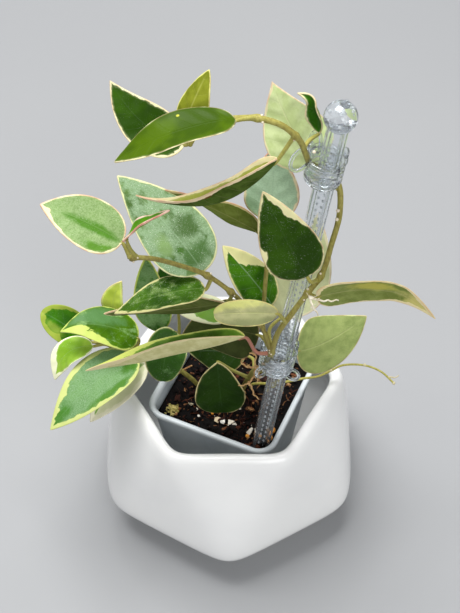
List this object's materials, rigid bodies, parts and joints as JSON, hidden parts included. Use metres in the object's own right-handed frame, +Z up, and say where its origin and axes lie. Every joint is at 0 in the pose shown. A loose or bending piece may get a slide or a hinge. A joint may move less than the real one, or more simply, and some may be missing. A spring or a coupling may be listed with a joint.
{
  "type": "potted asami hoya",
  "caption": "Variegated climbing hoya with waxy green and cream leaves, clipped to a clear stake in a square nursery pot that stands in a white faceted ceramic planter.",
  "frame": {"origin": "centre of the planter's foot, on the surface it stands on", "axes": "+Z up, -Y towards the side that the picture shows, +X to that viewer's right"},
  "size_m": [0.2, 0.1544, 0.3241],
  "materials": {
    "planter": "gloss",
    "nursery_pot": "satin",
    "soil": "matte",
    "clear_plastic": "gloss",
    "stem": "satin",
    "young_stem": "satin",
    "root_tan": "matte",
    "root_pale": "matte",
    "leaf_dark": "satin",
    "leaf_green": "satin",
    "leaf_silver": "satin",
    "leaf_olive": "satin",
    "leaf_cream": "satin",
    "leaf_lime": "satin"
  },
  "bodies": {
    "root": {"bare_shoot": "young_stem", "clip_lower": "clear_plastic", "clip_upper": "clear_plastic", "leaf_back_mid": "leaf_dark", "leaf_back_top": "leaf_olive", "leaf_behind_left": "leaf_green", "leaf_big_low": "leaf_silver", "leaf_by_ball": "leaf_green", "leaf_cream_back": "leaf_cream", "leaf_cream_fold": "leaf_cream", "leaf_dark_low": "leaf_dark", "leaf_edge_on": "leaf_green", "leaf_far_left": "leaf_green", "leaf_folded": "leaf_green", "leaf_front": "leaf_dark", "leaf_heart": "leaf_dark", "leaf_left": "leaf_green", "leaf_left_curled": "leaf_green", "leaf_left_low": "leaf_green", "leaf_left_under": "leaf_olive", "leaf_lime_small": "leaf_lime", "leaf_long_cream": "leaf_cream", "leaf_low_hidden": "leaf_dark", "leaf_mid_strip": "leaf_cream", "leaf_olive_back": "leaf_olive", "leaf_olive_under": "leaf_olive", "leaf_pale_bud": "leaf_cream", "leaf_right": "leaf_olive", "leaf_right_low": "leaf_olive", "leaf_silver": "leaf_silver", "leaf_silver_back": "leaf_silver", "leaf_small_bright": "leaf_lime", "leaf_top_left": "leaf_dark", "leaf_top_long": "leaf_green", "leaf_top_narrow": "leaf_olive", "leaf_upright": "leaf_green", "nursery_pot": "nursery_pot", "planter": "planter", "roots_low": "root_tan", "roots_node": "root_pale", "soil": "soil", "stake": "clear_plastic", "vine_low": "stem", "vine_main": "stem"}
  },
  "joints": []
}
